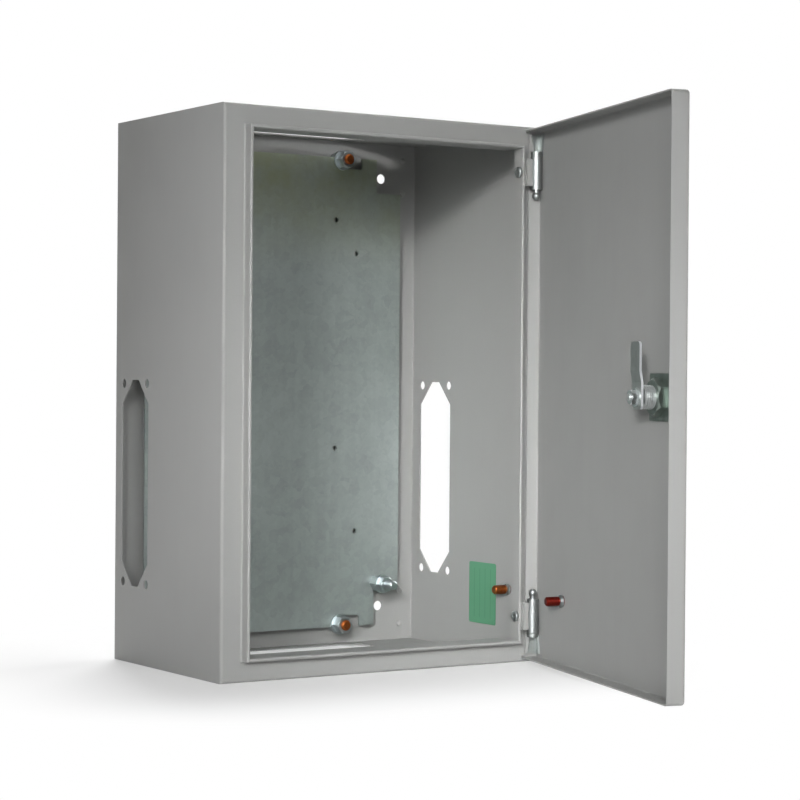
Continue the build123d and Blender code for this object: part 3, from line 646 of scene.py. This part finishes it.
def weld_tree():
    """Low painted domes at each point of a mesh."""
    tree, start, end = new_group(
        "weld_spots",
        "GeometryNodeTree",
        [
            ("Places", "NodeSocketGeometry"),
            ("Radius", "NodeSocketFloat"),
            ("Height", "NodeSocketFloat"),
            ("Finish", "NodeSocketMaterial"),
        ],
        [("Spots", "NodeSocketGeometry")],
    )
    get = start.outputs
    ball = node(tree, "GeometryNodeMeshUVSphere", {"Segments": 20, "Rings": 12, "Radius": 1.0})
    squash = node(tree, "ShaderNodeCombineXYZ", {0: get["Radius"], 1: get["Height"], 2: get["Radius"]})
    copies = node(
        tree,
        "GeometryNodeInstanceOnPoints",
        {"Points": get["Places"], "Instance": ball.outputs[0], "Scale": squash.outputs[0]},
    )
    real = node(tree, "GeometryNodeRealizeInstances", {0: copies.outputs[0]})
    smooth = node(tree, "GeometryNodeSetShadeSmooth", {0: real.outputs[0]})
    painted = node(tree, "GeometryNodeSetMaterial", {0: smooth.outputs[0], "Material": get["Finish"]})
    tree.links.new(painted.outputs[0], end.inputs[0])
    return tree


def grown(name, places, tree, values):
    """A plain mesh piece that a geometry tree makes at the given places."""
    mesh = bpy.data.meshes.new(name)
    mesh.from_pydata([tuple(place) for place in places], [], [])
    piece = bpy.data.objects.new(name, mesh)
    bpy.context.scene.collection.objects.link(piece)
    modifier = piece.modifiers.new(name, "NODES")
    modifier.node_group = tree
    for label, value in values.items():
        modifier_input(modifier, label, value)
    bpy.context.view_layer.update()
    depsgraph = bpy.context.evaluated_depsgraph_get()
    result = bpy.data.meshes.new_from_object(piece.evaluated_get(depsgraph))
    piece.modifiers.clear()
    piece.data = result
    return piece


def add_thread(name, body, slot, places, axis, size, pitch, ridge, material):
    """Thread ridges that start at each place and run along an axis, riding on a body."""
    radius, length = size
    steps = bpy.context.scene.enclosure_thread.steps
    tree = bpy.data.node_groups.get("thread_ridges") or thread_tree()
    turn = Vector(axis).to_track_quat("Z", "Y").to_euler()
    values = {
        "Radius": radius,
        "Length": length,
        "Pitch": pitch,
        "Ridge": ridge,
        "Steps": steps,
        "Turn": tuple(turn),
        "Finish": material,
    }
    piece = grown(name, places, tree, values)
    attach(piece, body)
    return piece


class ENCLOSURE_OT_painted_sheet(bpy.types.Operator):
    """Powder-coats the folded body, its panels and the door"""

    bl_idname = "enclosure.painted_sheet"
    bl_label = "Painted sheet"

    def execute(self, context):
        wear(PAINTED, finish("grey_powder_coat", powder_coat, context.scene.enclosure_paint))
        return {"FINISHED"}


class ENCLOSURE_OT_mounting_plate(bpy.types.Operator):
    """Galvanises the mounting plate"""

    bl_idname = "enclosure.mounting_plate"
    bl_label = "Mounting plate"

    def execute(self, context):
        wear(GALVANISED, finish("galvanised_plate", galvanised_steel, context.scene.enclosure_metal))
        return {"FINISHED"}


class ENCLOSURE_OT_fasteners(bpy.types.Operator):
    """Plates the nuts, washers, spacers and the earth bolt and copper-flashes the studs"""

    bl_idname = "enclosure.fasteners"
    bl_label = "Fasteners"

    def execute(self, context):
        wear(PLAIN_ZINC, plating("plain_zinc"))
        wear(COPPER, plating("copper_flash"))
        wear(RED_COPPER, plating("red_copper"))
        return {"FINISHED"}


class ENCLOSURE_OT_threads(bpy.types.Operator):
    """Cuts thread ridges on the plate studs, the earth studs and the earth bolt"""

    bl_idname = "enclosure.threads"
    bl_label = "Threads"

    tip: FloatProperty(name="Tip", description="Bare end of a stud", unit="LENGTH", default=0.0014)

    def execute(self, context):
        settings = context.scene.enclosure_thread
        cut = (settings.coarse_pitch, settings.coarse_ridge)
        low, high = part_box("plate_studs")
        nuts_low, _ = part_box("plate_nuts")
        radius = PLATE_STUD_RADIUS
        inset = Vector((radius, 0.0, radius))
        low_in, high_in = low + inset, high - inset
        places = [(x, nuts_low.y, z) for x in (low_in.x, high_in.x) for z in (low_in.z, high_in.z)]
        reach = nuts_low.y - low.y - self.tip
        copper = plating("copper_flash")
        size = (radius, reach)
        add_thread("plate_stud_threads", "cabinet", "copper", places, (0, -1, 0), size, *cut, copper)
        radius = EARTH_STUD_RADIUS
        size = (radius, EARTH_STUD_FREE)
        studs = (("wall_earth_stud", "cabinet", copper), ("door_earth_stud", "door", plating("red_copper")))
        for name, body, metal in studs:
            tip, axis = mount(name)
            root = tip - axis * (EARTH_STUD_FREE + self.tip)
            add_thread(name + "_thread", body, "copper", [root], axis, size, *cut, metal)
        tip, axis = mount("plate_earth_bolt")
        nut_low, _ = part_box("earth_bolt_clamp_nut")
        reach = nut_low.y - tip.y - self.tip
        root = Vector((tip.x, nut_low.y, tip.z))
        size = (radius, reach)
        add_thread("earth_bolt_thread", "cabinet", "zinc", [root], axis, size, *cut, plating("plain_zinc"))
        return {"FINISHED"}


class ENCLOSURE_OT_hinges(bpy.types.Operator):
    """Plates both halves of the hinges and paints the leaves of the barrels"""

    bl_idname = "enclosure.hinges"
    bl_label = "Hinges"

    def execute(self, context):
        axis_place = joint_named("door_hinge")["pos_m"]
        paint = context.scene.enclosure_paint.colour
        leaves = (off_axis_mask, (axis_place, BARREL_RADIUS), paint, 0.0)
        wear(HINGE_BARRELS, plating("barrel_zinc", leaves))
        wear(HINGE_SATIN, plating("satin_zinc"))
        wear(HINGE_DULL, plating("dull_zinc"))
        return {"FINISHED"}


class ENCLOSURE_OT_lock(bpy.types.Operator):
    """Finishes the cam lock and threads its sleeve"""

    bl_idname = "enclosure.lock"
    bl_label = "Cam lock"

    def execute(self, context):
        wear(LOCK_CAST, plating("cast_zinc"))
        wear(LOCK_DARK, plating("dark_zinc"))
        wear(LOCK_BRIGHT, plating("bright_zinc"))
        joint = joint_named("lock_turn")
        front = Vector(joint["pos_m"])
        inward = -Vector(joint["axis"]).normalized()
        # Painted highlight along the tongue's edges, in the pale edge colour
        edges = (edge_mask, (inward,), context.scene.enclosure_metal.edge_highlight, 1.0)
        wear(LOCK_TONGUE, plating("tongue_zinc", edges))
        root = front + inward * LOCK_SLEEVE_START
        settings = context.scene.enclosure_thread
        cut = (settings.fine_pitch, settings.fine_ridge)
        size = (LOCK_SLEEVE_RADIUS, LOCK_SLEEVE_FREE)
        cast = plating("cast_zinc")
        add_thread("lock_sleeve_thread", "door", "cast_zinc", [root], inward, size, *cut, cast)
        return {"FINISHED"}


class ENCLOSURE_OT_weld_spots(bpy.types.Operator):
    """Adds the painted weld spots in the corners of the back"""

    bl_idname = "enclosure.weld_spots"
    bl_label = "Weld spots"

    radius: FloatProperty(name="Radius", description="Radius of a spot", unit="LENGTH", default=0.0036)
    height: FloatProperty(name="Height", description="Height of a spot", unit="LENGTH", default=0.0013)
    across: FloatProperty(name="Across", description="Distance from the middle", unit="LENGTH", default=0.181)
    inner: FloatProperty(name="Inner", description="Level of the inner spots", unit="LENGTH", default=0.24)
    outer: FloatProperty(name="Outer", description="Level of the outer spots", unit="LENGTH", default=0.28)

    def execute(self, context):
        levels = (-self.outer, -self.inner, self.inner, self.outer)
        places = [(side * self.across, -SHEET, level) for side in (-1, 1) for level in levels]
        coat = finish("grey_powder_coat", powder_coat, context.scene.enclosure_paint)
        values = {"Radius": self.radius, "Height": self.height, "Finish": coat}
        spots = grown("weld_spots", places, weld_tree(), values)
        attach(spots, "cabinet")
        return {"FINISHED"}


class ENCLOSURE_OT_label(bpy.types.Operator):
    """Sticks the label without words on the right wall"""

    bl_idname = "enclosure.label"
    bl_label = "Blank label"

    def execute(self, context):
        settings = context.scene.enclosure_label
        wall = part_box("body_wrap")[1].x - SHEET
        mesh = bpy.data.meshes.new("blank_label")
        piece = bpy.data.objects.new("blank_label", mesh)
        context.scene.collection.objects.link(piece)
        form = bmesh.new()
        bmesh.ops.create_cube(form, size=1.0)
        size = (settings.thickness, settings.width, settings.height)
        bmesh.ops.scale(form, vec=size, verts=form.verts)
        upright = [e for e in form.edges if abs(e.verts[0].co.x - e.verts[1].co.x) > settings.thickness / 2]
        bmesh.ops.bevel(form, geom=upright, offset=settings.corner, segments=5, affect="EDGES")
        middle = Vector((wall - settings.thickness / 2, -settings.depth, settings.level))
        bmesh.ops.translate(form, vec=middle, verts=form.verts)
        form.to_mesh(mesh)
        form.free()
        mesh.materials.append(finish("green_label", label_foil, settings))
        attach(piece, "cabinet")
        return {"FINISHED"}


def seen_rays(tree):
    """1 for rays from the camera, in reflections and through glass, which see the white background."""
    path = node(tree, "ShaderNodeLightPath").outputs
    seen = maths(tree, "ADD", path["Is Camera Ray"], path["Is Glossy Ray"], clamp=True)
    return maths(tree, "ADD", seen, path["Is Transmission Ray"], clamp=True)


def floor_material(settings):
    """Pale floor that keeps the shadow near the object and fades to white further off."""
    material, tree, shader, place = start_material("pale_floor")
    shader.inputs["Base Color"].default_value = settings.floor
    shader.inputs["Roughness"].default_value = 0.9
    shader.inputs["Specular IOR Level"].default_value = 0.0
    parts = node(tree, "ShaderNodeSeparateXYZ", {0: place}).outputs
    low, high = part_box("body_wrap")
    gaps = []
    for axis in (0, 1):
        middle, half = (low[axis] + high[axis]) / 2, (high[axis] - low[axis]) / 2
        from_middle = maths(tree, "ABSOLUTE", maths(tree, "SUBTRACT", parts[axis], middle))
        gaps.append(maths(tree, "MAXIMUM", maths(tree, "SUBTRACT", from_middle, half), 0.0))
    off = node(tree, "ShaderNodeCombineXYZ", {0: gaps[0], 1: gaps[1]})
    distance = node(tree, "ShaderNodeVectorMath", {0: off.outputs[0]}, operation="LENGTH").outputs["Value"]
    fade = remap(tree, distance, (0.0, FLOOR_FADE_REACH), (FLOOR_WHITE_NEAR, 1.0), kind="SMOOTHSTEP")
    share = maths(tree, "MULTIPLY", seen_rays(tree), fade)
    glow = node(tree, "ShaderNodeEmission", {"Color": WHITE, "Strength": 1.0})
    mix = node(tree, "ShaderNodeMixShader", {0: share, 1: shader.outputs[0], 2: glow.outputs[0]})
    tree.links.new(mix.outputs[0], tree.nodes["Material Output"].inputs["Surface"])
    return material


def light_world(strength):
    """Even surroundings that look white and light the object at a lower strength."""
    world = bpy.data.worlds.new("studio")
    world.use_nodes = True
    tree = world.node_tree
    tree.nodes.clear()
    lit = node(tree, "ShaderNodeBackground", {"Color": WHITE, "Strength": strength})
    shown = node(tree, "ShaderNodeBackground", {"Color": WHITE, "Strength": 1.0})
    mix = node(tree, "ShaderNodeMixShader", {0: seen_rays(tree), 1: lit.outputs[0], 2: shown.outputs[0]})
    end = node(tree, "ShaderNodeOutputWorld", {"Surface": mix.outputs[0]})
    end.is_active_output = True
    bpy.context.scene.world = world


def add_lamp(name, azimuth, elevation, distance, width, height, beam, aim, power):
    """A soft lamp that faces a point of the object from a bearing and a height angle."""
    turn, rise = math.radians(azimuth), math.radians(elevation)
    bearing = Vector((math.sin(turn) * math.cos(rise), -math.cos(turn) * math.cos(rise), math.sin(rise)))
    place = Vector(aim) + bearing * distance
    data = bpy.data.lights.new(name, "AREA")
    data.shape = "RECTANGLE"
    data.size = width
    data.size_y = height
    data.spread = math.radians(beam)
    data.energy = power
    lamp = bpy.data.objects.new(name, data)
    lamp.location = place
    lamp.rotation_euler = (-bearing).to_track_quat("-Z", "Y").to_euler()
    bpy.context.scene.collection.objects.link(lamp)


def add_camera():
    """Camera at the place and with the lens worked out from the object's edges."""
    yaw, pitch, roll = (math.radians(angle) for angle in CAMERA_ANGLES)
    forward = Vector((math.sin(yaw) * math.cos(pitch), math.cos(yaw) * math.cos(pitch), math.sin(pitch)))
    level = Vector((math.cos(yaw), -math.sin(yaw), 0.0))
    above = level.cross(forward)
    right = level * math.cos(roll) + above * math.sin(roll)
    up = above * math.cos(roll) - level * math.sin(roll)
    data = bpy.data.cameras.new("camera")
    data.sensor_width = SENSOR_WIDTH
    data.lens = FOCAL_PIXELS / PIXELS_ACROSS * SENSOR_WIDTH
    camera = bpy.data.objects.new("camera", data)
    turn = Matrix((right, up, -forward)).transposed().to_4x4()
    camera.matrix_world = Matrix.Translation(CAMERA_PLACE) @ turn
    bpy.context.scene.collection.objects.link(camera)
    bpy.context.scene.camera = camera


class ENCLOSURE_OT_stage(bpy.types.Operator):
    """Sets the floor, the lamps, the surroundings and the camera"""

    bl_idname = "enclosure.stage"
    bl_label = "Stage"

    def execute(self, context):
        settings = context.scene.enclosure_stage
        reach = FLOOR_REACH
        level = CAD_BOX[0].z - FLOOR_GAP
        mesh = bpy.data.meshes.new("floor")
        corners = [(-reach, -reach), (reach, -reach), (reach, reach), (-reach, reach)]
        mesh.from_pydata([(x, y, level) for x, y in corners], [], [(0, 1, 2, 3)])
        floor = bpy.data.objects.new("floor", mesh)
        mesh.materials.append(floor_material(settings))
        context.scene.collection.objects.link(floor)
        light_world(settings.ambient)
        for *place, power in LAMPS:
            add_lamp(*place, power * settings.light)
        add_camera()
        context.scene.view_settings.view_transform = "Standard"
        return {"FINISHED"}


class VIEW3D_PT_enclosure(bpy.types.Panel):
    """Lists the enclosure's pieces and settings"""

    bl_label = "Wall enclosure"
    bl_idname = "VIEW3D_PT_enclosure"
    bl_space_type = "VIEW_3D"
    bl_region_type = "UI"
    bl_category = "Enclosure"

    def draw(self, context):
        for operator in OPERATORS:
            self.layout.operator(operator.bl_idname)
        for pointer in SETTINGS:
            box = self.layout.box()
            group = getattr(context.scene, pointer)
            for key in group.bl_rna.properties.keys():
                if key not in {"rna_type", "name"}:
                    box.prop(group, key)


SETTINGS = {
    "enclosure_paint": PaintSettings,
    "enclosure_metal": MetalSettings,
    "enclosure_thread": ThreadSettings,
    "enclosure_label": LabelSettings,
    "enclosure_stage": StageSettings,
}
OPERATORS = (
    ENCLOSURE_OT_painted_sheet,
    ENCLOSURE_OT_mounting_plate,
    ENCLOSURE_OT_fasteners,
    ENCLOSURE_OT_threads,
    ENCLOSURE_OT_hinges,
    ENCLOSURE_OT_lock,
    ENCLOSURE_OT_weld_spots,
    ENCLOSURE_OT_label,
    ENCLOSURE_OT_stage,
)


def register():
    """Registers the settings, the operators and the panel."""
    for pointer, group in SETTINGS.items():
        bpy.utils.register_class(group)
        setattr(bpy.types.Scene, pointer, PointerProperty(type=group))
    for operator in OPERATORS:
        bpy.utils.register_class(operator)
    bpy.utils.register_class(VIEW3D_PT_enclosure)


def unregister():
    """Takes the panel, the operators and the settings out again."""
    bpy.utils.unregister_class(VIEW3D_PT_enclosure)
    for operator in reversed(OPERATORS):
        bpy.utils.unregister_class(operator)
    for pointer, group in SETTINGS.items():
        delattr(bpy.types.Scene, pointer)
        bpy.utils.unregister_class(group)


def main():
    """Dresses the enclosure from the first finish to the stage."""
    register()
    bpy.ops.enclosure.painted_sheet()
    bpy.ops.enclosure.mounting_plate()
    bpy.ops.enclosure.fasteners()
    bpy.ops.enclosure.threads()
    bpy.ops.enclosure.hinges()
    bpy.ops.enclosure.lock()
    bpy.ops.enclosure.weld_spots()
    bpy.ops.enclosure.label()
    bpy.ops.enclosure.stage()


if __name__ == "__main__":
    main()
